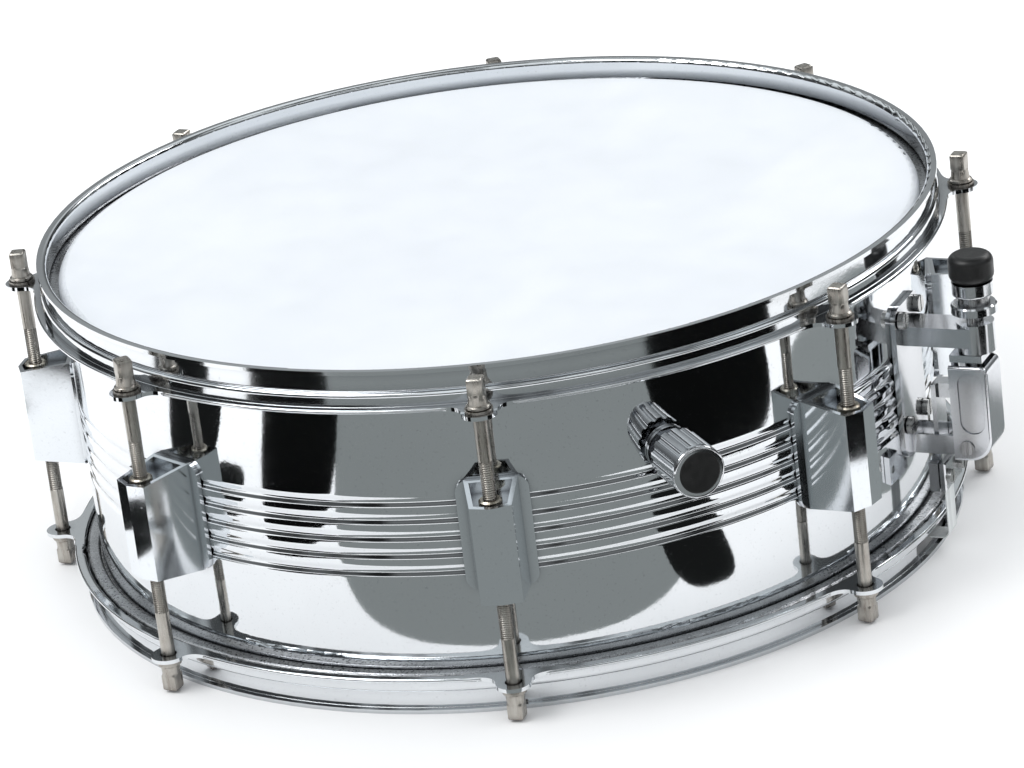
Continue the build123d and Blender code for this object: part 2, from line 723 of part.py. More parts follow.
def make_cord_clamp():
    """Nut block on the tension screw with the hanger and fixed jaw that carry the strap."""
    clamp = block(block_x, (-block_half, block_half), block_z)
    clamp += block((hanger_x[0], block_x[0]), (-block_half, block_half), link_z)
    clamp += block(hanger_x, (-hanger_half, hanger_half), (jaw_z[0], link_z[1]))
    clamp += block((hanger_x[0] - 2, hanger_x[1]), (-jaw_half, jaw_half), jaw_z)
    clamp -= bar_z_axis(tension_r + running_gap, block_z, screw_x)
    for y in (-jaw_screw_y, jaw_screw_y):
        clamp -= bar_x_axis(jaw_screw_r, (hanger_x[0] - 3, hanger_x[1] + 1), y, sum(jaw_z) / 2)
    return clamp


# ---- snares ----

def make_strap():
    """Flat strap from under an end plate, out through the gate and up into a clamp."""
    middle_x = strap_x + strap_t / 2
    middle_z = strap_z + strap_t / 2
    start = wire_half_length + strap_lap
    line = FilletPolyline((start, middle_z), (middle_x, middle_z), (middle_x, strap_top_z),
                          radius=strap_bend)
    outline = make_face(offset(line, amount=strap_t / 2, side=Side.BOTH).edges())
    return extrude(Plane.XZ * outline, amount=strap_half, both=True)


def make_end_plate():
    plate = Pos(wire_half_length + plate_length / 2, 0, wire_z - plate_t / 2)
    return plate * extrude(RectangleRounded(plate_length, 2 * plate_half, plate_corner), amount=plate_t)


def make_wires():
    """Row of snare coils, each as a round bar of the coil's outer size."""
    limits = (-wire_half_length, wire_half_length)
    first = -(wire_count - 1) / 2 * wire_pitch
    return [bar_x_axis(wire_r, limits, first + n * wire_pitch, wire_z) for n in range(wire_count)]


def make_butt_plate():
    """Curved plate with the fixed jaw of the butt clamp."""
    plate = curved_plate(*butt_plate, base_plate_t, butt_z)
    pad = block((shell_r + 0.5, hanger_x[1]), (-jaw_half, jaw_half), jaw_z)
    plate += pad - bar_z_axis(shell_r + face_gap, (0, total_height))
    for y in (-jaw_screw_y, jaw_screw_y):
        plate -= bar_x_axis(jaw_screw_r, (hanger_x[1] - 8, hanger_x[1] + 1), y, sum(jaw_z) / 2)
    for y in (-butt_bolt_y, butt_bolt_y):
        plate -= bar_x_axis(m4_hole_r, (shell_r - 5, shell_r + 12), y, butt_bolt_z)
    return plate


# ---- muffler ----

def make_muffler_knob():
    """Fluted knob with a recess in its face for the inlay."""
    knob = bar_x_axis(knob_r, knob_x)
    knob = fillet(knob.edges().sort_by(Axis.X)[-1], knob_round)
    for n in range(knob_flutes):
        angle = 2 * math.pi * n / knob_flutes
        y = (knob_r + flute_offset) * math.cos(angle)
        z = (knob_r + flute_offset) * math.sin(angle)
        knob -= bar_x_axis(flute_r, (knob_x[0] - 1, knob_x[1] - flute_end), y, z)
    knob -= bar_x_axis(knob_face_r, (knob_x[1] - knob_face_depth, knob_x[1] + 1))
    knob -= bar_x_axis(shaft_r, (knob_x[0] - 1, knob_x[1] - knob_socket))
    return Pos(0, 0, muffler_z) * knob


def make_inlay():
    back = knob_x[1] - knob_face_depth
    inlay = bar_x_axis(knob_face_r - face_gap, (back, back + inlay_t))
    inlay = fillet(inlay.edges().sort_by(Axis.X)[-1], inlay_round)
    return Pos(0, 0, muffler_z) * inlay


def make_muffler_shaft():
    """Shaft from the knob to the cam that lifts the arm, with a stop collar inside the shell."""
    shaft = bar_x_axis(shaft_r, (cam_x[0], knob_x[1] - knob_socket), 0, muffler_z)
    shaft += bar_x_axis(muffler_cam_r, cam_x, 0, muffler_z - muffler_cam_offset)
    return shaft + bar_x_axis(shaft_stop_r, shaft_stop_x, 0, muffler_z)


def make_bushing():
    """Threaded sleeve through the shell with an outer nut, its washer and an inner nut."""
    under_nut = shell_r + bushing_washer[1]
    outer = (under_nut, under_nut + bushing_nut_t)
    inner = (bushing_end_x, bracket_x[1] - face_gap)
    sleeve = bar_x_axis(sleeve_r, (inner[0], outer[1]))
    for x in (outer, inner):
        sleeve += extrude(Plane.YZ.offset(x[0]) * RegularPolygon(bushing_nut_r, 6), amount=x[1] - x[0])
    sleeve += bar_x_axis(bushing_washer[0], (shell_r + face_gap, outer[0]))
    sleeve -= bar_x_axis(shaft_r + running_gap, (inner[0] - 1, outer[1] + 1))
    return Pos(0, 0, muffler_z) * sleeve


def make_bracket():
    """Plate held against the inside of the shell, with two cheeks for the arm's pin."""
    plate = block((bracket_x[1], shell_r), (-bracket_half[1], bracket_half[1]), bracket_z)
    plate &= bar_z_axis(bead_inner_r - face_gap, bracket_z)
    bracket = plate + both_sides(bracket_half, (bracket_x[0], bracket_x[1] + bracket_lap), bracket_z)
    bracket -= bar_x_axis(sleeve_r + running_gap, (bracket_x[1] - 1, shell_r), 0, muffler_z)
    bracket -= bar_y_axis(arm_pin_r, (-20, 20), arm_pivot_x, arm_pivot_z)
    return bracket


def make_arm_pin():
    half = bracket_half[1] + pin_end
    return bar_y_axis(arm_pin_r, (-half, half), arm_pivot_x, arm_pivot_z)


def make_arm():
    """Strip over the cam, hung from the pin, rising to the table that carries the pad."""
    low = muffler_z + muffler_cam_r - muffler_cam_offset + arm_clear
    arm = block(arm_x, (-arm_half, arm_half), (low, low + arm_t))
    arm += block((arm_x[0], arm_x[0] + arm_t), (-arm_half, arm_half), (low, pad_table_z + arm_t))
    table_half = pad_half - table_inset
    arm += block((pad_x[0] + table_inset, pad_x[1] - table_inset), (-table_half, table_half),
                 (pad_table_z, pad_table_z + arm_t))
    ear_x = (arm_x[1] - arm_ear_r, arm_pivot_x)
    ears = both_sides((arm_half - arm_t, arm_half), ear_x, (low, arm_pivot_z + arm_ear_r))
    for y in (-arm_half, arm_half - arm_t):
        ears += bar_y_axis(arm_ear_r, (y, y + arm_t), arm_pivot_x, arm_pivot_z)
    arm += ears
    return arm - bar_y_axis(arm_pin_r + running_gap, (-20, 20), arm_pivot_x, arm_pivot_z)


def make_pad():
    outline = RectangleRounded(pad_x[1] - pad_x[0], 2 * pad_half, pad_corner)
    bottom = pad_table_z + arm_t
    pad = extrude(outline, amount=pad_top_z - bottom)
    pad = fillet(pad.faces().sort_by(Axis.Z)[-1].edges(), pad_round)
    return Pos(sum(pad_x) / 2, 0, bottom) * pad


# ---- write every node ----

os.makedirs("parts", exist_ok=True)

hoop = plain_hoop()
gate = make_gate()
film = make_film()
flesh_hoop = make_flesh_hoop()
save("shell", [make_shell()])
save("vent_grommet", [make_vent()])
save("batter_hoop", [flip(hoop)])
save("snare_side_hoop", [hoop - gate - spin(gate, 180)])
save("batter_head_film", [flip(film)])
save("snare_side_head_film", [film])
save("batter_flesh_hoop", [flip(flesh_hoop)])
save("snare_side_flesh_hoop", [flesh_hoop])

lug = make_lug()
nut = make_swivel_nut()
spring = make_lug_spring()
save("lugs", [spin(lug, a) for a in lug_azimuths])
save("lug_swivel_nuts", [spin(piece, a) for a in lug_azimuths for piece in (nut, flip(nut))])
save("lug_springs", [spin(spring, a) for a in lug_azimuths])
save("lug_screws", [spin(make_lug_screw(way), a) for a in lug_azimuths for way in (-1, 1)])
save("lug_screw_washers", [spin(make_lug_screw_washer(way), a) for a in lug_azimuths for way in (-1, 1)])

rod = make_rod()
rod_washer = make_rod_washer()
for number, azimuth in enumerate(lug_azimuths, 1):
    save(f"top_rod_{number}", [spin(rod, azimuth)])
    save(f"bottom_rod_{number}", [spin(flip(rod), azimuth)])
save("rod_washers", [spin(piece, a) for a in lug_azimuths for piece in (rod_washer, flip(rod_washer))])

mounts = [(y, z, base_plate_t, 0) for y in (-base_bolt_y, base_bolt_y) for z in base_bolt_zs]
mounts += [(y, butt_bolt_z, base_plate_t, 180) for y in (-butt_bolt_y, butt_bolt_y)]
pairs = [bolts_and_nuts(*place) for place in mounts]
save("mount_bolts", [bolt for bolt, nut_inside in pairs])
save("mount_nuts", [nut_inside for bolt, nut_inside in pairs])

save("strainer_base", [make_strainer_base()])
save("throw_lever", [make_lever()])
save("throw_lever_camshaft", [make_camshaft()])
save("carriage_frame", [make_carriage_frame()])
save("carriage_top_plate", [make_carriage_top()])
save("guide_posts", make_guide_posts())
save("tension_screw", [make_tension_screw()])
save("tension_knob_collar", [make_collar()])
save("tension_knob_cap", [make_cap()])
save("cord_clamp_block", [make_cord_clamp()])
save("cord_clamp_plate", [jaw_plate()])
save("cord_clamp_screws", jaw_screws(hanger_x[0] - 1.5))

strap = make_strap()
plate = make_end_plate()
save("strainer_strap", [strap])
save("butt_strap", [spin(strap, 180)])
save("snare_end_plates", [plate, spin(plate, 180)])
save("snare_wires", make_wires())
save("butt_plate", [spin(make_butt_plate(), 180)])
save("butt_clamp_plate", [spin(jaw_plate(), 180)])
save("butt_clamp_screws", [spin(screw, 180) for screw in jaw_screws(hanger_x[1] - 7)])

save("muffler_knob", [spin(make_muffler_knob(), muffler_azimuth)])
save("muffler_knob_inlay", [spin(make_inlay(), muffler_azimuth)])
save("muffler_shaft", [spin(make_muffler_shaft(), muffler_azimuth)])
save("muffler_bushing", [spin(make_bushing(), muffler_azimuth)])
save("muffler_bracket", [spin(make_bracket(), muffler_azimuth)])
save("muffler_arm_pin", [spin(make_arm_pin(), muffler_azimuth)])
save("muffler_arm", [spin(make_arm(), muffler_azimuth)])
save("muffler_pad", [spin(make_pad(), muffler_azimuth)])
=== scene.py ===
import json
import math

import bpy
from mathutils import Matrix, Vector


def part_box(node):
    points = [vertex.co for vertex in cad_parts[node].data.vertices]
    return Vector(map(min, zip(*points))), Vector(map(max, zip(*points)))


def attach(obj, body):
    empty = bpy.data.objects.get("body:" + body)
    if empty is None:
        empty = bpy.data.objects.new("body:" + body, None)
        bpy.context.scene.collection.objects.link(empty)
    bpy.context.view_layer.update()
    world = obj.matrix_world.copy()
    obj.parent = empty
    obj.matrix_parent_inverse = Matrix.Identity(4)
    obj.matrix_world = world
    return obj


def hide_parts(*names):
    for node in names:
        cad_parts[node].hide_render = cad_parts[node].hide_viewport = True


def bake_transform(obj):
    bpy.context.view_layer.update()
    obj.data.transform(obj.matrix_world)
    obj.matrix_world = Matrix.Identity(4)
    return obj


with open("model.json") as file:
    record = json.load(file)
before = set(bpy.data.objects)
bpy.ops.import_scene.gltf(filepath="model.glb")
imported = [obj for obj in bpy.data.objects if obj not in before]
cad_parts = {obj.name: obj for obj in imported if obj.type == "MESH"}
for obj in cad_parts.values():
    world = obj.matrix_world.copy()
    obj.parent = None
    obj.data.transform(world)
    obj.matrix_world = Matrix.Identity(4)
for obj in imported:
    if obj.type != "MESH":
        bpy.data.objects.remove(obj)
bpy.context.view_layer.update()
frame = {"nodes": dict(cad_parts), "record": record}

# Looks of the snare drum: a chrome steel drum on a pale floor. Metres, +Z up, the drum's axis on Z,
# snares along X with the strainer on +X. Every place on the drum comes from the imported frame.

MM = 0.001

# ---- sizes ----

sheet = 1.2 * MM                # shell wall
edge_bend = 3.0 * MM            # bearing edge: the wall's bend, then a run inward to the lip
edge_turn = math.radians(120)
edge_slope = math.radians(30)
edge_run = 5.4 * MM
bead_pitch = 7.2 * MM
bead_half = 2.7 * MM
bead_depth = 0.60 * MM
bead_zone = 18 * MM             # the beads end within this distance of the shell's middle

rod_shaft = 2.75 * MM
key_half = 3.175 * MM           # half of a 1/4 inch square
thread_pitch = 0.9 * MM
thread_depth = 0.32 * MM
thread_lead = 1 * MM            # plain tip before the thread
thread_reach = 27 * MM          # where the thread ends

snare_coils = 20
snare_wire = 0.24 * MM          # half of the wire's thickness
snare_turns = 170
spring_wire = 0.35 * MM
spring_r = 4.4 * MM
spring_turns = 10

strap_thick = 0.5 * MM
strap_bend = 3 * MM
pad_half = (15 * MM, 13 * MM)


# ---- places from the frame ----

nodes = frame["nodes"]
shell_low, shell_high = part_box("shell")
shell_r = shell_high[0]
mid_z = (shell_low[2] + shell_high[2]) / 2
total_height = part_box("batter_hoop")[1][2]
lug_azimuths = [math.radians(45 * (n + 0.5)) for n in range(8)]


def middle(node):
    """Middle of a node's box."""
    low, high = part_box(node)
    return (Vector(low) + Vector(high)) / 2


# ---- node helpers for materials ----

class Shader:
    """A material's node tree, with short calls for the nodes used here."""

    def __init__(self, name):
        self.material = bpy.data.materials.new(name)
        self.material.use_nodes = True
        self.tree = self.material.node_tree
        self.surface = self.tree.nodes["Principled BSDF"]
        coordinates = self.tree.nodes.new("ShaderNodeTexCoord")
        self.place = coordinates.outputs["Object"]

    def link(self, source, target):
        self.tree.links.new(source, target)

    def set(self, **values):
        for name, value in values.items():
            self.surface.inputs[name.replace("_", " ")].default_value = value

    def stretch(self, scale, source=None):
        """Coordinates scaled by a vector."""
        mapping = self.tree.nodes.new("ShaderNodeMapping")
        mapping.inputs["Scale"].default_value = scale
        self.link(source or self.place, mapping.inputs["Vector"])
        return mapping.outputs["Vector"]

    def noise(self, scale, detail=4.0, rough=0.5, place=None):
        texture = self.tree.nodes.new("ShaderNodeTexNoise")
        texture.inputs["Scale"].default_value = scale
        texture.inputs["Detail"].default_value = detail
        texture.inputs["Roughness"].default_value = rough
        self.link(place or self.place, texture.inputs["Vector"])
        return texture.outputs["Fac"]

    def cells(self, scale, place=None):
        texture = self.tree.nodes.new("ShaderNodeTexVoronoi")
        texture.inputs["Scale"].default_value = scale
        self.link(place or self.place, texture.inputs["Vector"])
        return texture.outputs["Distance"]

    def scratches(self, scale, amount, axis):
        """Fine lines drawn out along one axis."""
        squeeze = [scale, scale, scale]
        squeeze[axis] = scale * 0.02
        return self.ramp(self.noise(1.0, 2.0, 0.6, self.stretch(squeeze)), 0.5 - amount, 0.5 + amount)

    def ramp(self, source, low, high, start=0.0, end=1.0):
        """Straight-line map of one range on to another, held at its ends."""
        node = self.tree.nodes.new("ShaderNodeMapRange")
        node.inputs["From Min"].default_value = low
        node.inputs["From Max"].default_value = high
        node.inputs["To Min"].default_value = start
        node.inputs["To Max"].default_value = end
        self.link(source, node.inputs["Value"])
        return node.outputs["Result"]

    def math(self, operation, first, second):
        node = self.tree.nodes.new("ShaderNodeMath")
        node.operation = operation
        for slot, value in enumerate((first, second)):
            if isinstance(value, (int, float)):
                node.inputs[slot].default_value = value
            else:
                self.link(value, node.inputs[slot])
        return node.outputs["Value"]

    def mix(self, factor, first, second):
        node = self.tree.nodes.new("ShaderNodeMix")
        node.data_type = "RGBA"
        self.link(factor, node.inputs["Factor"])
        for name, value in (("A", first), ("B", second)):
            socket = next(s for s in node.inputs if s.name == name and s.type == "RGBA")
            if isinstance(value, tuple):
                socket.default_value = (*value, 1.0)
            else:
                self.link(value, socket)
        return next(s for s in node.outputs if s.type == "RGBA")

    def occlusion_shade(self):
        """Ambient occlusion for painting shade into colour: dark in crevices, light on open surfaces."""
        node = self.tree.nodes.new("ShaderNodeAmbientOcclusion")
        node.samples = 4
        node.inputs["Distance"].default_value = 4 * MM
        return node.outputs["AO"]

    def color(self, source):
        self.link(source, self.surface.inputs["Base Color"])

    def roughness(self, source):
        self.link(source, self.surface.inputs["Roughness"])

    def bump(self, height, depth, strength=1.0):
        node = self.tree.nodes.new("ShaderNodeBump")
        node.inputs["Strength"].default_value = strength
        node.inputs["Distance"].default_value = depth
        self.link(height, node.inputs["Height"])
        self.link(node.outputs["Normal"], self.surface.inputs["Normal"])


# ---- materials ----

def chrome(name, tint, rough, ripple, painted_corner_shade=(0.30, 0.31, 0.33)):
    """Chrome plating: soft ripples of the sheet, wiped-on haze, dust, and painted shade that darkens the
    corners.
    """
    shader = Shader(name)
    shader.set(Metallic=1.0)
    haze = shader.ramp(shader.noise(18, 5, 0.6), 0.35, 0.75)
    dust = shader.ramp(shader.noise(900, 2, 0.5), 0.62, 0.80)
    wiped = shader.math("ADD", shader.ramp(haze, 0, 1, rough * 0.6, rough * 1.8),
                        shader.ramp(dust, 0, 1, 0.0, 0.10))
    shader.roughness(wiped)
    # Painted shade: ambient occlusion pulls the colour towards a dark grey in corners and crevices.
    corner = shader.ramp(shader.occlusion_shade(), 0.25, 0.85)
    clean = shader.mix(haze, tint, tuple(0.95 * c for c in tint))
    dusted = shader.mix(dust, clean, tuple(0.82 * c for c in tint))
    shader.color(shader.mix(corner, painted_corner_shade, dusted))
    waves = shader.noise(14, 2, 0.4)
    grain = shader.math("MULTIPLY", shader.noise(700, 2, 0.5), 0.02)
    shader.bump(shader.math("ADD", waves, grain), ripple)
    return shader.material


def dull_nickel(name):
    """Tension rods: grey-brown nickel, tarnished in streaks along the rod, with painted shade darkening the
    thread.
    """
    shader = Shader(name)
    shader.set(Metallic=1.0)
    streaks = shader.noise(1.0, 4, 0.6, shader.stretch((500, 500, 40)))
    tarnish = shader.ramp(shader.noise(90, 5, 0.65), 0.35, 0.7)
    plating = shader.mix(tarnish, (0.46, 0.43, 0.39), (0.25, 0.22, 0.19))
    worn = shader.mix(shader.ramp(streaks, 0.35, 0.7), plating, (0.54, 0.52, 0.48))
    # Painted shade: ambient occlusion darkens the colour to near black in the thread and other crevices.
    shader.color(shader.mix(shader.ramp(shader.occlusion_shade(), 0.3, 0.9), (0.10, 0.08, 0.07), worn))
    shader.roughness(shader.ramp(streaks, 0.2, 0.8, 0.18, 0.42))
    shader.bump(streaks, 0.06 * MM)
    return shader.material


def plain_steel(name, tint, rough, axis=2):
    """Zinc-plated or turned steel with fine tool marks along one axis, and painted shade in its crevices."""
    shader = Shader(name)
    shader.set(Metallic=1.0)
    marks = shader.scratches(900, 0.2, axis)
    cloud = shader.ramp(shader.noise(60, 4, 0.6), 0.3, 0.7)
    shade = shader.mix(cloud, tint, tuple(0.7 * c for c in tint))
    # Painted shade: ambient occlusion darkens the colour to a fifth of the tint in crevices.
    shader.color(shader.mix(shader.ramp(shader.occlusion_shade(), 0.2, 0.9), tuple(0.2 * c for c in tint), shade))
    shader.roughness(shader.ramp(marks, 0, 1, rough * 0.7, rough * 1.4))
    shader.bump(marks, 0.03 * MM)
    return shader.material


def brass(name):
    """Swivel nuts: pale brass with darker spots."""
    shader = Shader(name)
    shader.set(Metallic=1.0)
    spots = shader.ramp(shader.noise(140, 5, 0.6), 0.4, 0.7)
    shader.color(shader.mix(spots, (0.66, 0.62, 0.54), (0.44, 0.39, 0.31)))
    shader.roughness(shader.ramp(shader.noise(300, 3), 0.3, 0.7, 0.18, 0.38))
    shader.bump(shader.scratches(800, 0.2, 0), 0.03 * MM)
    return shader.material


def coated_film(name):
    """Batter head: white sprayed coating with a fine tooth, a hint of stick wear and cloudiness."""
    shader = Shader(name)
    cloud = shader.ramp(shader.noise(9, 4, 0.55), 0.3, 0.75)
    white = shader.mix(cloud, (0.66, 0.69, 0.73), (0.70, 0.73, 0.76))
    brushed = shader.ramp(shader.noise(1.0, 3, 0.5, shader.stretch((16, 5, 5))), 0.55, 0.8)
    streaked = shader.mix(brushed, white, (0.73, 0.755, 0.785))
    specks = shader.ramp(shader.cells(1400), 0.0, 0.12)
    shader.color(shader.mix(specks, (0.60, 0.62, 0.66), streaked))
    shader.roughness(shader.ramp(shader.noise(50, 4), 0.3, 0.7, 0.42, 0.62))
    tooth = shader.math("ADD", shader.noise(2600, 3, 0.7), shader.math("MULTIPLY", shader.noise(40, 2), 0.4))
    shader.bump(tooth, 0.05 * MM, 0.6)
    shader.set(Subsurface_Weight=0.08, Subsurface_Radius=(0.004, 0.004, 0.005))
    return shader.material


def hazy_film(name):
    """Snare-side head: thin, clear, slightly milky film with faint rub marks from the wires."""
    shader = Shader(name)
    cloud = shader.ramp(shader.noise(25, 4, 0.6), 0.35, 0.75)
    shader.color(shader.mix(cloud, (0.86, 0.88, 0.90), (0.93, 0.94, 0.95)))
    rubs = shader.scratches(500, 0.12, 0)
    shader.roughness(shader.ramp(rubs, 0, 1, 0.14, 0.34))
    shader.bump(shader.noise(60, 3), 0.05 * MM)
    shader.set(Transmission_Weight=0.55, IOR=1.2)
    return shader.material


def black_plastic(name):
    """Moulded black plastic with fine paler flecks of dust."""
    shader = Shader(name)
    mottled = shader.ramp(shader.noise(260, 4, 0.6), 0.3, 0.75)
    dusty = shader.ramp(shader.noise(1200, 2), 0.66, 0.8)
    body = shader.mix(mottled, (0.004, 0.004, 0.004), (0.009, 0.009, 0.009))
    shader.color(shader.mix(dusty, body, (0.03, 0.03, 0.03)))
    shader.roughness(shader.ramp(mottled, 0, 1, 0.30, 0.48))
    shader.bump(shader.noise(1500, 2), 0.03 * MM)
    return shader.material


def milky_strap(name):
    """Tough plastic strap, creased and scuffed."""
    shader = Shader(name)
    scuffs = shader.scratches(700, 0.15, 2)
    cloud = shader.ramp(shader.noise(80, 4), 0.3, 0.7)
    base = shader.mix(cloud, (0.50, 0.53, 0.53), (0.62, 0.64, 0.64))
    shader.color(shader.mix(scuffs, base, (0.70, 0.72, 0.72)))
    shader.roughness(shader.ramp(scuffs, 0, 1, 0.32, 0.55))
    shader.bump(scuffs, 0.05 * MM)
    shader.set(Subsurface_Weight=0.2, Subsurface_Radius=(0.002, 0.002, 0.002))
    return shader.material


def felt(name):
    """Pressed wool: matted fibres, pilled and slightly soiled."""
    shader = Shader(name)
    fibres = shader.noise(1.0, 6, 0.75, shader.stretch((900, 500, 700)))
    soil = shader.ramp(shader.noise(60, 4, 0.6), 0.3, 0.7)
    base = shader.mix(soil, (0.80, 0.78, 0.74), (0.66, 0.63, 0.58))
    shader.color(shader.mix(shader.ramp(fibres, 0.35, 0.65), (0.55, 0.53, 0.50), base))
    shader.set(Roughness=0.95, Sheen_Weight=0.5, Sheen_Roughness=0.6)
    shader.bump(fibres, 0.5 * MM)
    return shader.material


finishes = {
    "shell_chrome": chrome("shell_chrome", (0.80, 0.82, 0.84), 0.045, 0.25 * MM),
    "hoop_chrome": chrome("hoop_chrome", (0.78, 0.80, 0.82), 0.07, 0.20 * MM),
    "lug_chrome": chrome("lug_chrome", (0.82, 0.85, 0.88), 0.09, 0.12 * MM),
    "lever_chrome": chrome("lever_chrome", (0.72, 0.73, 0.76), 0.16, 0.12 * MM),
    "knob_chrome": chrome("knob_chrome", (0.72, 0.73, 0.75), 0.08, 0.08 * MM),
    "fitting_chrome": chrome("fitting_chrome", (0.70, 0.71, 0.73), 0.12, 0.08 * MM),
    "batter_film": coated_film("batter_film"),
    "snare_side_film": hazy_film("snare_side_film"),
    "flesh_hoop_aluminium": plain_steel("flesh_hoop_aluminium", (0.66, 0.67, 0.69), 0.30),
    "swivel_nut_brass": brass("swivel_nut_brass"),
    "spring_steel": plain_steel("spring_steel", (0.45, 0.45, 0.46), 0.35),
    "screw_steel": plain_steel("screw_steel", (0.58, 0.58, 0.57), 0.30, 1),
    "rod_nickel": dull_nickel("rod_nickel"),
    "pin_steel": plain_steel("pin_steel", (0.60, 0.60, 0.61), 0.22),
    "bracket_steel": plain_steel("bracket_steel", (0.50, 0.51, 0.53), 0.36),
    "black_plastic": black_plastic("black_plastic"),
    "strap_plastic": milky_strap("strap_plastic"),
    "snare_wire_steel": plain_steel("snare_wire_steel", (0.62, 0.62, 0.64), 0.22, 0),
    "felt": felt("felt"),
}


def dress_cad_nodes():
    """Gives each CAD node the finish of its record slot."""
    for part in frame["record"]["subparts"]:
        node = nodes[part["node"]]
        node.data.materials.clear()
        node.data.materials.append(finishes[part["material_slot"]])


dress_cad_nodes()


# ---- mesh helpers ----

def add_piece(name, vertices, faces, finish, body, replaced=(), smooth_angle=35):
    """Makes a smooth-shaded mesh piece that rides on a body and stands for CAD nodes."""
    mesh = bpy.data.meshes.new(name)
    mesh.from_pydata([tuple(v) for v in vertices], [], faces)
    mesh.validate()
    piece = bpy.data.objects.new(name, mesh)
    bpy.context.scene.collection.objects.link(piece)
    mesh.materials.append(finishes[finish])
    mesh.shade_smooth()
    mesh.set_sharp_from_angle(angle=math.radians(smooth_angle))
    if body:
        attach(piece, body)
    if replaced:
        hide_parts(*replaced)
    return piece


def grid_faces(rings, around, closed_rings=False):
    """Quads between rings of points; each ring is closed on itself."""
    faces = []
    for ring in range(rings if closed_rings else rings - 1):
        first = ring * around
        second = (ring + 1) % rings * around
        for n in range(around):
            after = (n + 1) % around
            faces.append((first + n, first + after, second + after, second + n))
    return faces


def cap_faces(rings, around):
    """Flat ends for an open run of rings."""
    last = (rings - 1) * around
    return [tuple(range(around - 1, -1, -1)), tuple(last + n for n in range(around))]


def lathe(profile, around):
    """Closed section of radius and height pairs swept round the drum's axis."""
    vertices = []
    for radius, height in profile:
        for n in range(around):
            turn = 2 * math.pi * n / around
            vertices.append((radius * math.cos(turn), radius * math.sin(turn), height))
    return vertices, grid_faces(len(profile), around, closed_rings=True)


# ---- shell ----

def bead_depth_at(z):
    """How far the shell's wall is rolled in at a height: five soft beads round the middle."""
    nearest = round((z - mid_z) / bead_pitch)
    if abs(nearest) > 2:
        return 0.0
    off = abs(z - mid_z - nearest * bead_pitch)
    if off >= bead_half:
        return 0.0
    return bead_depth * (0.5 + 0.5 * math.cos(math.pi * off / bead_half))


def bearing_edge(sign, radius_from_bend):
    """Turned-in bearing edge, as points from the wall to the lip; sign is 1 for the top edge."""
    bend_steps = 14
    points = []
    centre_z = shell_high[2] - edge_bend if sign > 0 else shell_low[2] + edge_bend
    centre_r = shell_r - edge_bend
    for step in range(bend_steps + 1):
        turn = edge_turn * step / bend_steps
        points.append((centre_r + radius_from_bend * math.cos(turn),
                       centre_z + sign * radius_from_bend * math.sin(turn)))
    last = points[-1]
    lip_r = last[0] - edge_run * math.cos(edge_slope)
    lip_z = last[1] - sign * edge_run * math.sin(edge_slope)
    points.append((lip_r, lip_z))
    return points


def beaded_wall(offset):
    """The wall's face at an offset from its outside, as points from below the beads to above them."""
    steps = 100
    points = []
    for step in range(steps + 1):
        z = mid_z - bead_zone + 2 * bead_zone * step / steps
        points.append((shell_r - offset - bead_depth_at(z), z))
    return points


def shell_face(offset):
    """Whole outside of the shell, or its inside when offset by the sheet's thickness."""
    bend = edge_bend - offset
    return bearing_edge(-1, bend)[::-1] + beaded_wall(offset) + bearing_edge(1, bend)


def make_shell():
    """Beaded shell, finely lathed so that its mirror is smooth."""
    vertices, faces = lathe(shell_face(0) + shell_face(sheet)[::-1], 360)
    add_piece("shell_skin", vertices, faces, "shell_chrome", "drum", ["shell"], 50)


# ---- tension rods ----

def rod_rings(tip, seat, top):
    """A rod from its tip to the key head, as rings of height, radius, squareness and thread."""
    rings = [(tip, rod_shaft * 0.6, 0, 0), (tip + 0.7 * MM, rod_shaft * 0.95, 0, 0)]
    rings_a_turn = 6
    runout = 4
    threaded = thread_reach - thread_lead
    steps = round(threaded / (thread_pitch / rings_a_turn))
    for n in range(steps + 1):
        z = tip + thread_lead + threaded * n / steps
        rings.append((z, rod_shaft, 0, 1 if runout < n < steps - runout else 0))
    flange = [(-0.01, 2.75, 0), (0.0, 4.35, 0), (0.3, 4.7, 0), (1.2, 4.7, 0), (1.6, 4.3, 0)]
    cone = [(1.75, 3.9, 0), (3.2, 3.7, 0), (4.8, 3.55, 0)]
    shoulder = [(5.5, 3.4, 0.4), (5.8, 3.2, 0.9), (6.1, 3.175, 1)]
    for rise, radius, square in flange + cone + shoulder:
        rings.append((seat + rise * MM, radius * MM, square, 0))
    for drop, share in ((0.8, 1), (0.35, 0.93), (0, 0.79)):
        rings.append((top - drop * MM, share * key_half, 1, 0))
    return rings


def squareness(angle, power):
    """How much further a rounded square reaches than its inscribed circle; a higher power is squarer."""
    return (abs(math.cos(angle)) ** power + abs(math.sin(angle)) ** power) ** (-1 / power)


def make_rod(node, upward, turn):
    """One tension rod: helical thread, plain shank, flange, cone and square key head."""
    low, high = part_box(node)
    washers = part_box("rod_washers")
    axis = middle(node)
    around = 32
    if upward:
        rings = rod_rings(low[2], washers[1][2], high[2])
    else:
        rings = rod_rings(-high[2], -washers[0][2], -low[2])
    vertices = []
    for z, radius, square, thread in rings:
        for n in range(around):
            angle = 2 * math.pi * n / around
            reach = radius * (1 + square * (squareness(angle, 9) - 1))
            if thread:
                phase = (z / thread_pitch - n / around) % 1
                reach -= thread_depth * abs(2 * phase - 1)
            height = z if upward else -z
            x = axis[0] + reach * math.cos(angle + turn)
            y = axis[1] + reach * math.sin(angle + turn)
            vertices.append((x, y, height))
    faces = grid_faces(len(rings), around) + cap_faces(len(rings), around)
    if not upward:
        faces = [face[::-1] for face in faces]
    add_piece(f"{node}_threaded", vertices, faces, "rod_nickel", node, [node], 30)


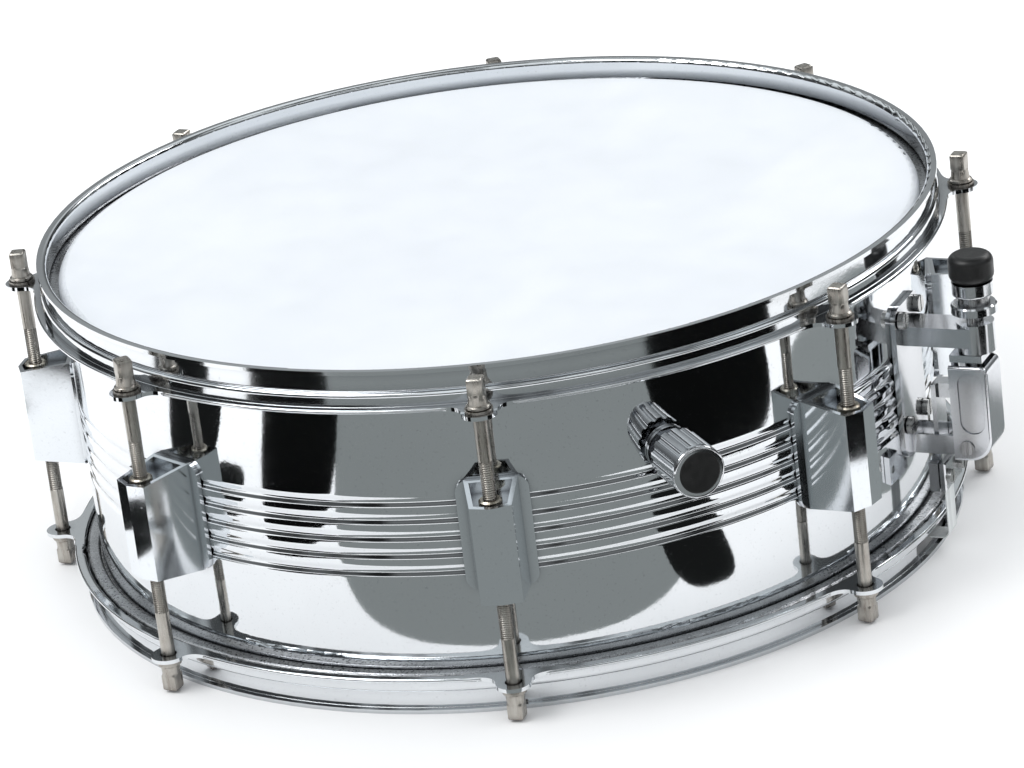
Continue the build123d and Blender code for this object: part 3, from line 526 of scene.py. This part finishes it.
def make_rods():
    """Sixteen rods, each key head left at its own angle."""
    for number, azimuth in enumerate(lug_azimuths, 1):
        make_rod(f"top_rod_{number}", True, azimuth + 0.4 * math.sin(5 * number))
        make_rod(f"bottom_rod_{number}", False, azimuth + 0.5 * math.cos(3 * number))


# ---- snare wires and springs ----

def coil_mesh(start, end, radius, wire, turns, around_turn, around_wire):
    """Round wire coiled about the line from start to end."""
    start, end = Vector(start), Vector(end)
    along = (end - start).normalized()
    side = along.orthogonal().normalized()
    other = along.cross(side)
    rings = turns * around_turn + 1
    vertices = []
    rise = (end - start).length / (2 * math.pi * turns * radius)
    for ring in range(rings):
        turn = 2 * math.pi * ring / around_turn
        out = side * math.cos(turn) + other * math.sin(turn)
        round_way = other * math.cos(turn) - side * math.sin(turn)
        forward = (round_way + along * rise).normalized()
        across = out.cross(forward)
        centre = start.lerp(end, ring / (rings - 1)) + out * radius
        for n in range(around_wire):
            angle = 2 * math.pi * n / around_wire
            vertices.append(centre + out * wire * math.cos(angle) + across * wire * math.sin(angle))
    return vertices, grid_faces(rings, around_wire) + cap_faces(rings, around_wire)


def merge(parts):
    """One vertex and face list from several."""
    vertices, faces = [], []
    for some_vertices, some_faces in parts:
        base = len(vertices)
        vertices += some_vertices
        faces += [tuple(base + n for n in face) for face in some_faces]
    return vertices, faces


def make_snare_wires():
    """Twenty steel coils side by side under the bottom head."""
    low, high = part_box("snare_wires")
    outer = (high[2] - low[2]) / 2
    pitch = (high[1] - low[1] - 2 * outer) / (snare_coils - 1)
    z = (low[2] + high[2]) / 2
    parts = []
    for n in range(snare_coils):
        y = low[1] + outer + n * pitch
        start = (low[0] + snare_wire, y, z)
        end = (high[0] - snare_wire, y, z)
        parts.append(coil_mesh(start, end, outer - snare_wire, snare_wire, snare_turns, 10, 5))
    vertices, faces = merge(parts)
    add_piece("snare_wire_coils", vertices, faces, "snare_wire_steel", "snares", ["snare_wires"], 180)


def make_lug_springs():
    """Coil springs inside the lugs, on the rods' axes."""
    low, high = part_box("lug_springs")
    rod_place = middle("top_rod_1")
    rod_r = math.hypot(rod_place[0], rod_place[1])
    parts = []
    for azimuth in lug_azimuths:
        x = rod_r * math.cos(azimuth)
        y = rod_r * math.sin(azimuth)
        start = (x, y, low[2] + spring_wire)
        end = (x, y, high[2] - spring_wire)
        parts.append(coil_mesh(start, end, spring_r, spring_wire, spring_turns, 20, 8))
    vertices, faces = merge(parts)
    add_piece("lug_spring_coils", vertices, faces, "spring_steel", "drum", ["lug_springs"], 180)


# ---- straps ----

def strap_path(inner_x, wall_x, middle_z, top_z):
    """Middle line of a strap with its normals: along the bottom head, round the bend and up to the clamp."""
    flat_steps, bend_steps, rise_steps = 16, 10, 18
    bend_x = wall_x - strap_bend
    bend_z = middle_z + strap_bend
    path = []
    for n in range(flat_steps + 1):
        path.append((inner_x + (bend_x - inner_x) * n / flat_steps, middle_z, 0.0, 1.0))
    for n in range(1, bend_steps + 1):
        turn = math.pi / 2 * n / bend_steps
        x = bend_x + strap_bend * math.sin(turn)
        z = bend_z - strap_bend * math.cos(turn)
        path.append((x, z, -math.sin(turn), math.cos(turn)))
    for n in range(1, rise_steps + 1):
        path.append((wall_x, bend_z + (top_z - bend_z) * n / rise_steps, -1.0, 0.0))
    return path


def strap_section(half):
    """Section across a strap: two flat faces, each drawn to a point at the strap's edges."""
    steps = 8
    face_half = 0.985 * half
    across = [face_half * (2 * n / steps - 1) for n in range(steps + 1)]
    upper = [(y, 1.0) for y in across] + [(half, 0.0)]
    lower = [(-y, -1.0) for y in across] + [(-half, 0.0)]
    return upper + lower


def make_strap(node, name, sign, blended):
    """Thin plastic strap, bent up through the gate, with thinned edges."""
    low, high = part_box(node)
    outer_x = max(abs(low[0]), abs(high[0]))
    inner_x = min(abs(low[0]), abs(high[0]))
    middle_z = low[2] + strap_thick / 2
    wall_x = outer_x - strap_thick / 2
    path = strap_path(inner_x, wall_x, middle_z, high[2])
    section = strap_section((high[1] - low[1]) / 2)
    half_thick = 0.96 * strap_thick / 2
    vertices = []
    for x, z, normal_x, normal_z in path:
        for y, face in section:
            shift = face * half_thick
            vertices.append((sign * (x + normal_x * shift), sign * y, z + normal_z * shift))
    faces = grid_faces(len(path), len(section)) + cap_faces(len(path), len(section))
    piece = add_piece(name, vertices, faces, "strap_plastic", None if blended else "snares", [node], 40)
    if blended:
        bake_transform(piece)


# ---- muffler pad ----

def make_pad():
    """Felt block: rounded top, sides pulled in a little, and uneven faces."""
    place = middle("muffler_pad")
    low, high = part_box("muffler_pad")
    azimuth = math.atan2(place[1], place[0])
    height = high[2] - low[2]
    inset = 0.2 * MM
    rings, around = 14, 64
    vertices = []
    for ring in range(rings):
        up = ring / (rings - 1)
        tuck = 0.4 * MM * math.sin(math.pi * up)
        shrink = 1.6 * MM * max(0, up * 4 - 3) ** 2 + 0.8 * MM * max(0, 1 - up * 5) ** 2
        for n in range(around):
            angle = 2 * math.pi * n / around
            across = squareness(angle, 5)
            wave = 0.12 * MM * math.sin(7 * angle + 9 * up) * math.sin(3 * angle)
            smaller = shrink + tuck + wave + inset
            x = (pad_half[0] - smaller) * across * math.cos(angle)
            y = (pad_half[1] - smaller) * across * math.sin(angle)
            turned_x = x * math.cos(azimuth) - y * math.sin(azimuth)
            turned_y = x * math.sin(azimuth) + y * math.cos(azimuth)
            vertices.append((place[0] + turned_x, place[1] + turned_y, low[2] + height * up))
    faces = grid_faces(rings, around) + cap_faces(rings, around)
    add_piece("muffler_felt", vertices, faces, "felt", "muffler_arm", ["muffler_pad"], 60)


make_shell()
make_rods()
make_snare_wires()
make_lug_springs()
make_strap("strainer_strap", "strainer_strap_soft", 1, True)
make_strap("butt_strap", "butt_strap_soft", -1, False)
make_pad()


# ---- camera, floor and light ----

def add_camera():
    """Long lens, 26 degrees to the right of the front and 19 degrees up, tilted as it was held."""
    focal = 157.5
    sensor = 36.0
    azimuth = math.radians(25.966)
    roll = math.radians(-7.1056)
    out = 1.72689
    rise = 0.5976
    shift_right = 0.001
    shift_down = 0.0415
    aim = Vector((0, 0, total_height))
    place = Vector((out * math.sin(azimuth), -out * math.cos(azimuth), total_height + rise))
    forward = (aim - place).normalized()
    right = Vector((math.cos(azimuth), math.sin(azimuth), 0))
    up = right.cross(forward)
    forward = (forward + right * shift_right - up * shift_down).normalized()
    right = forward.cross(up).normalized()
    up = right.cross(forward)
    tilted_right = right * math.cos(roll) + up * math.sin(roll)
    tilted_up = up * math.cos(roll) - right * math.sin(roll)
    data = bpy.data.cameras.new("camera")
    data.lens = focal
    data.sensor_width = sensor
    data.clip_start = 0.05
    data.clip_end = 20.0
    camera = bpy.data.objects.new("camera", data)
    bpy.context.scene.collection.objects.link(camera)
    turn = Matrix((tilted_right, tilted_up, -forward)).transposed().to_4x4()
    camera.matrix_world = Matrix.Translation(place) @ turn
    bpy.context.scene.camera = camera


def add_floor():
    """Wide pale floor."""
    mesh = bpy.data.meshes.new("floor")
    half = 6.0
    corners = [(-half, -half, 0), (half, -half, 0), (half, half, 0), (-half, half, 0)]
    mesh.from_pydata(corners, [], [(0, 1, 2, 3)])
    floor = bpy.data.objects.new("floor", mesh)
    bpy.context.scene.collection.objects.link(floor)
    shader = Shader("floor_paper")
    cloud = shader.ramp(shader.noise(3, 3), 0.3, 0.7)
    shader.color(shader.mix(cloud, (0.92, 0.92, 0.92), (0.94, 0.94, 0.94)))
    shader.set(Roughness=0.9)
    mesh.materials.append(shader.material)


def card_material(level):
    """Studio card seen only in reflections."""
    material = bpy.data.materials.new(f"card_{level}")
    material.use_nodes = True
    tree = material.node_tree
    tree.nodes.clear()
    glow = tree.nodes.new("ShaderNodeEmission")
    glow.inputs["Color"].default_value = (0.92 * level, level, level, 1)
    output = tree.nodes.new("ShaderNodeOutputMaterial")
    tree.links.new(glow.outputs["Emission"], output.inputs["Surface"])
    return material


def floor_card(name, azimuth, reach, half_angle, half_depth, level, height):
    """Flat card on the floor, with rounded corners, at an angle and a distance from the drum's axis."""
    steps = 48
    corner = 0.6
    points = []
    for n in range(steps):
        turn = 2 * math.pi * n / steps
        across = math.copysign(abs(math.cos(turn)) ** corner, math.cos(turn))
        along = math.copysign(abs(math.sin(turn)) ** corner, math.sin(turn))
        angle = math.radians(azimuth + half_angle * across)
        radius = reach + half_depth * along
        points.append((radius * math.cos(angle), radius * math.sin(angle), height))
    mesh = bpy.data.meshes.new(name)
    mesh.from_pydata(points, [], [tuple(range(steps))])
    card = bpy.data.objects.new(name, mesh)
    bpy.context.scene.collection.objects.link(card)
    mesh.materials.append(card_material(level))
    hide_but_in_mirrors(card)


def hide_but_in_mirrors(card):
    """Leaves a card to glossy reflections only."""
    card.visible_camera = False
    card.visible_diffuse = False
    card.visible_shadow = False
    card.visible_transmission = False
    card.visible_volume_scatter = False


def add_cards():
    """Grey, black and pale blue cards round the drum, for the plated surfaces to mirror."""
    floor_card("card_grey_front", -66, 0.45, 36, 0.23, 0.27, 1 * MM)
    floor_card("card_dark_far", -30, 0.70, 30, 0.13, 0.03, 1.5 * MM)
    floor_card("card_black_left", -110.5, 0.575, 9, 0.275, 0.004, 2 * MM)
    floor_card("card_black_far_left", -138, 0.57, 8, 0.215, 0.01, 2 * MM)
    floor_card("card_black_left_lug", -152.5, 0.307, 5, 0.03, 0.01, 2 * MM)
    floor_card("card_black_back_lug", -126.5, 0.357, 4, 0.035, 0.01, 2 * MM)
    floor_card("card_black_right", -20, 0.60, 15, 0.245, 0.004, 2 * MM)
    floor_card("card_black_tail", -34, 0.295, 6, 0.065, 0.01, 3 * MM)
    floor_card("card_black_far_right", 4, 0.62, 16, 0.09, 0.01, 2 * MM)
    floor_card("card_blue_right", 15, 0.36, 16, 0.14, 0.30, 1 * MM)


def add_node(tree, kind, **inputs):
    """A node with some of its inputs set."""
    node = tree.nodes.new(kind)
    for name, value in inputs.items():
        node.inputs[name.replace("_", " ")].default_value = value
    return node


def room_shades(tree, direction):
    """The mirrored room from floor to ceiling: dim below, dark at the horizon and white overhead."""
    stops = [(0.0, 0.15), (0.46, 0.30), (0.50, 0.24), (0.58, 0.10), (0.66, 0.28), (0.74, 0.80), (0.86, 1.0)]
    parts = add_node(tree, "ShaderNodeSeparateXYZ")
    tree.links.new(direction, parts.inputs["Vector"])
    raised = add_node(tree, "ShaderNodeMapRange", From_Min=-1.0)
    tree.links.new(parts.outputs["Z"], raised.inputs["Value"])
    shades = add_node(tree, "ShaderNodeValToRGB")
    elements = shades.color_ramp.elements
    while len(elements) < len(stops):
        elements.new(0.5)
    for element, (height, level) in zip(elements, stops):
        element.position = height
        element.color = (0.93 * level, 0.98 * level, level, 1)
    tree.links.new(raised.outputs["Result"], shades.inputs["Fac"])
    return shades.outputs["Color"]


def lit_patches(tree, direction):
    """Lit and unlit patches of the room, taller than they are wide."""
    stretched = add_node(tree, "ShaderNodeMapping", Scale=(1.0, 1.0, 0.45))
    tree.links.new(direction, stretched.inputs["Vector"])
    patches = add_node(tree, "ShaderNodeTexNoise", Scale=3.4, Detail=1.0)
    tree.links.new(stretched.outputs["Vector"], patches.inputs["Vector"])
    lit = add_node(tree, "ShaderNodeMapRange", From_Min=0.46, From_Max=0.53, To_Min=0.12, To_Max=1.0)
    tree.links.new(patches.outputs["Fac"], lit.inputs["Value"])
    return lit.outputs["Result"]


def add_world():
    """White surround, with a darker studio of lit and unlit patches where only mirrors see it."""
    world = bpy.data.worlds.new("studio")
    bpy.context.scene.world = world
    world.use_nodes = True
    tree = world.node_tree
    direction = tree.nodes.new("ShaderNodeTexCoord").outputs["Generated"]
    room = tree.nodes.new("ShaderNodeVectorMath")
    room.operation = "SCALE"
    tree.links.new(room_shades(tree, direction), room.inputs[0])
    tree.links.new(lit_patches(tree, direction), room.inputs["Scale"])
    seen_by = tree.nodes.new("ShaderNodeLightPath")
    chosen = tree.nodes.new("ShaderNodeMix")
    chosen.data_type = "VECTOR"
    tree.links.new(seen_by.outputs["Is Glossy Ray"], chosen.inputs["Factor"])
    ends = [socket for socket in chosen.inputs if socket.type == "VECTOR" and socket.name in ("A", "B")]
    ends[0].default_value = (0.96, 0.98, 1.0)
    tree.links.new(room.outputs["Vector"], ends[1])
    result = next(socket for socket in chosen.outputs if socket.type == "VECTOR")
    background = tree.nodes["Background"]
    tree.links.new(result, background.inputs["Color"])
    background.inputs["Strength"].default_value = 1.0


def add_area(name, place, aim, size, power):
    """Rectangular soft light turned to its aim."""
    data = bpy.data.lights.new(name, "AREA")
    data.shape = "RECTANGLE"
    data.size = size[0]
    data.size_y = size[1]
    data.energy = power
    lamp = bpy.data.objects.new(name, data)
    lamp.location = place
    lamp.rotation_euler = (Vector(aim) - Vector(place)).to_track_quat("-Z", "Y").to_euler()
    bpy.context.scene.collection.objects.link(lamp)


def add_lights():
    aim = (0, 0, mid_z)
    add_area("key", (-0.9, -1.2, 1.9), aim, (1.4, 1.0), 22)
    add_area("rim", (0.8, 1.6, 1.4), aim, (1.6, 0.5), 14)


add_camera()
add_floor()
add_cards()
add_world()
add_lights()
bpy.context.scene.view_settings.view_transform = "Standard"
